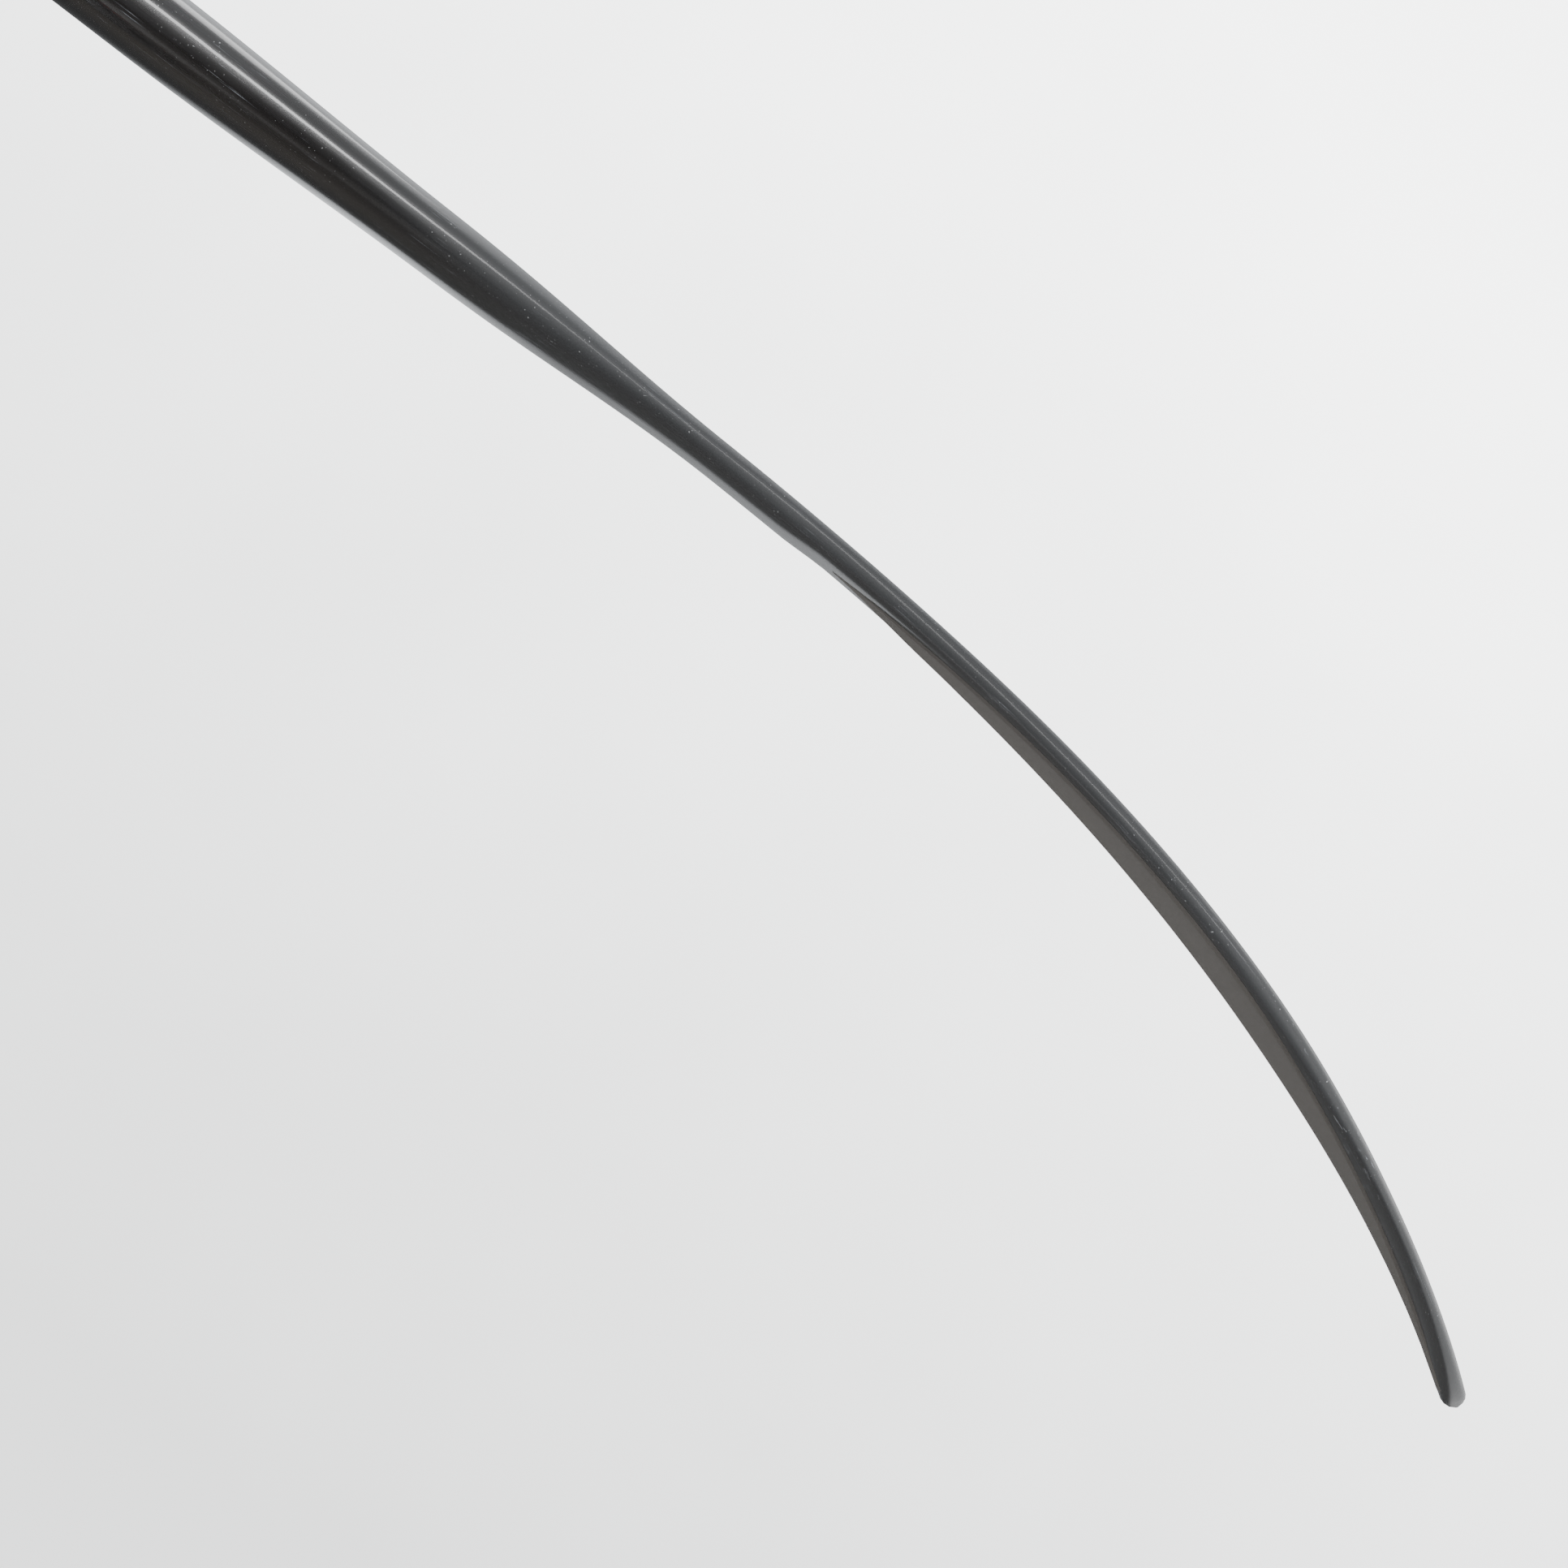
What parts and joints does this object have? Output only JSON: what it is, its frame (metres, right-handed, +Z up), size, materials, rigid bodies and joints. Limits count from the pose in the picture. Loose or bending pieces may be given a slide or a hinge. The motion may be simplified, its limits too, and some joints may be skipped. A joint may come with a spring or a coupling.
{
  "type": "below-knee running prosthetic leg",
  "caption": "Below-knee running leg: curved carbon sprint blade on a rail behind a laminated socket, with a gel liner held by a toothed pin in a push-button lock.",
  "frame": {"origin": "on the socket's vertical axis, at the limb seat, which is the flat bottom of the flexible socket's cavity", "axes": "+X forward towards the toe, +Y to the wearer's left, +Z up along the socket; a right leg, with the release button on its inner side"},
  "size_m": [0.1737, 0.1416, 0.6634],
  "materials": {
    "carbon_gloss": "gloss",
    "matt_ply": "matte",
    "laminate": "gloss",
    "flexible_socket": "satin",
    "black_alloy": "satin",
    "alloy": "satin",
    "red_alloy": "satin",
    "steel": "satin",
    "spring_steel": "polished",
    "seal_rubber": "matte",
    "gel": "satin",
    "knit": "matte"
  },
  "bodies": {
    "socket": {"slot_rail": "alloy", "rail_screws": "steel", "mount_fairing": "laminate", "outer_socket": "laminate", "inner_socket": "flexible_socket", "lock_body": "black_alloy", "lock_cover": "alloy", "cover_screws": "steel", "lock_seal": "seal_rubber", "gear_axle": "steel", "one_way_clutch": "black_alloy", "button_spring": "spring_steel", "button_bezel": "black_alloy"},
    "blade": {"blade": "carbon_gloss", "dorsal_ply": "matt_ply", "clamp_plate": "black_alloy", "blade_bolts": "steel", "bolt_washers": "alloy", "slot_nuts": "steel"},
    "gear": {"ratchet_gear": "steel"},
    "button": {"release_button": "red_alloy"},
    "liner": {"lock_pin": "steel", "liner_cap": "alloy", "gel_liner": "gel", "cuff_band": "knit"}
  },
  "joints": [
    {"name": "blade_height", "type": "slide", "parent": "socket", "child": "blade", "axis": [0.0872, 0, 0.9962], "range_m": [-0.01, 0.01]},
    {"name": "liner_out", "type": "slide", "parent": "socket", "child": "liner", "axis": [0, 0, 1], "range_m": [0, 0.2]},
    {"name": "gear_turn", "type": "hinge", "parent": "socket", "child": "gear", "pos_m": [0.0097, 0, -0.0205], "axis": [0, 1, 0], "range_deg": [0, 1915]},
    {"name": "button_press", "type": "slide", "parent": "socket", "child": "button", "axis": [0, -1, 0], "range_m": [0, 0.0035], "stiffness_N_per_m": 600, "springref_m": -0.004, "deforming": ["button_spring"]}
  ],
  "couplings": [
    {"joint": "gear_turn", "follows": "liner_out", "rad_per_m": 166.67}
  ]
}
